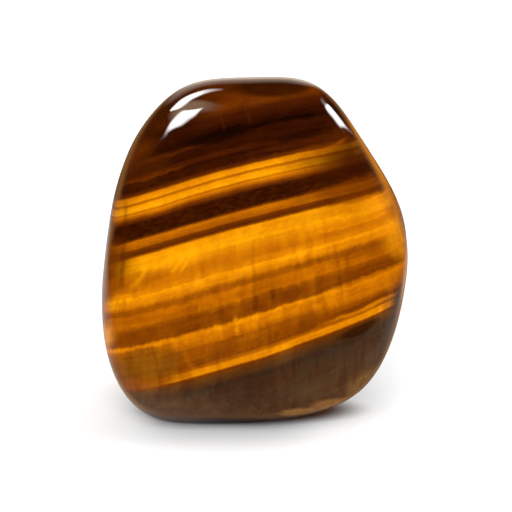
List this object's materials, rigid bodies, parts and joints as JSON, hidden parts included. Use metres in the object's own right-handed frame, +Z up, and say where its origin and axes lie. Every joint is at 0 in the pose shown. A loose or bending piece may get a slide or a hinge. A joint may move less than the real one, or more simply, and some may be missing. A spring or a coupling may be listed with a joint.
{
  "type": "tumbled tiger's eye stone",
  "caption": "Polished tumbled pebble with two broad faces, a rounded worn rim and slanting gold and brown silky bands; it stands upright on a small flat.",
  "frame": {"origin": "middle of the stone's box in X and Y, at the level of the worn flat that it rests on", "axes": "+Z up through the height of the stone, +X to the right across the front face, +Y away from the front face through the thickness"},
  "size_m": [0.0302, 0.0193, 0.0341],
  "materials": {
    "tigers_eye": "polished stone with silky gold, amber and dark brown bands"
  },
  "bodies": {
    "root": {"tigers_eye_stone": "tigers_eye"}
  },
  "joints": []
}
